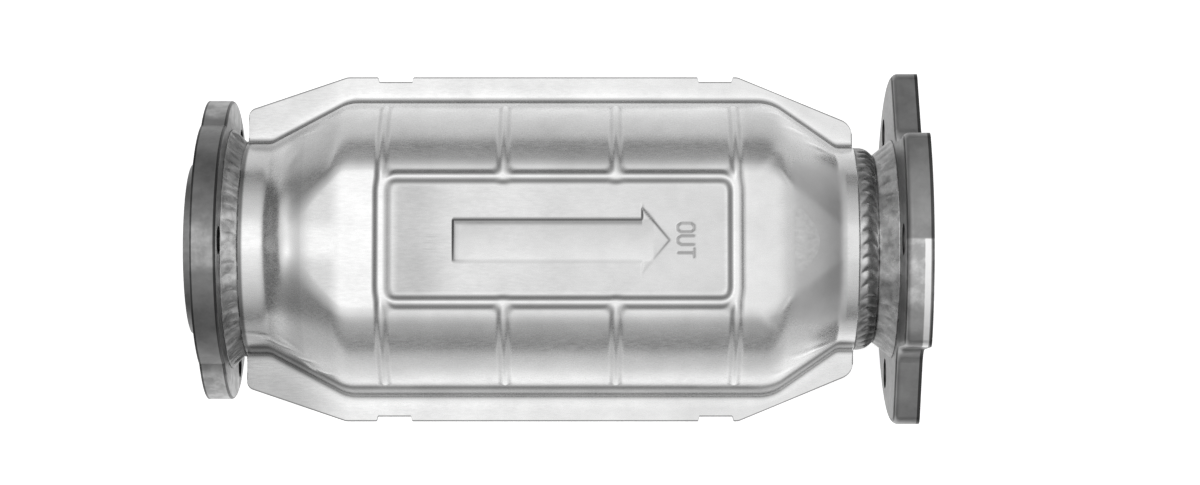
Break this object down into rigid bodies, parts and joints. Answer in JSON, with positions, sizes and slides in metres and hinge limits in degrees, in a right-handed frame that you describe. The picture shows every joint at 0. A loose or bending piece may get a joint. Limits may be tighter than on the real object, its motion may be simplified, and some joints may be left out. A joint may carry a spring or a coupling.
{
  "type": "catalytic converter",
  "caption": "Stamped clamshell catalytic converter: flattened round case with beads and a flow arrow, between an inlet flange with a pilot ring and a notched outlet flange.",
  "frame": {"origin": "on the gas axis at the gasket face of the inlet flange", "axes": "+X along the gas flow towards the outlet, +Z out of the crown with the flow arrow, the seam plane is Z = 0"},
  "size_m": [0.2582, 0.125, 0.119],
  "materials": {
    "shell_steel": "bright pickled stainless sheet",
    "flange_steel": "dark forged steel",
    "pipe_steel": "dull steel tube",
    "weld_steel": "rippled weld",
    "inner_steel": "dull stainless sheet",
    "ceramic": "matt ceramic honeycomb",
    "fibre_mat": "soft mineral fibre",
    "wire_mesh": "knitted wire",
    "insulation": "soft mineral fibre"
  },
  "bodies": {
    "root": {"upper_shell": "shell_steel", "lower_shell": "shell_steel", "inlet_flange": "flange_steel", "outlet_flange": "flange_steel", "outlet_pipe": "pipe_steel", "inlet_weld": "weld_steel", "outlet_collar_weld": "weld_steel", "outlet_flange_weld": "weld_steel", "front_monolith": "ceramic", "rear_monolith": "ceramic", "front_mat": "fibre_mat", "rear_mat": "fibre_mat", "front_upstream_seal": "wire_mesh", "front_downstream_seal": "wire_mesh", "rear_upstream_seal": "wire_mesh", "rear_downstream_seal": "wire_mesh", "monolith_spacer": "wire_mesh", "inlet_inner_cone": "inner_steel", "outlet_inner_cone": "inner_steel", "inlet_insulation": "insulation", "outlet_insulation": "insulation"}
  },
  "joints": []
}
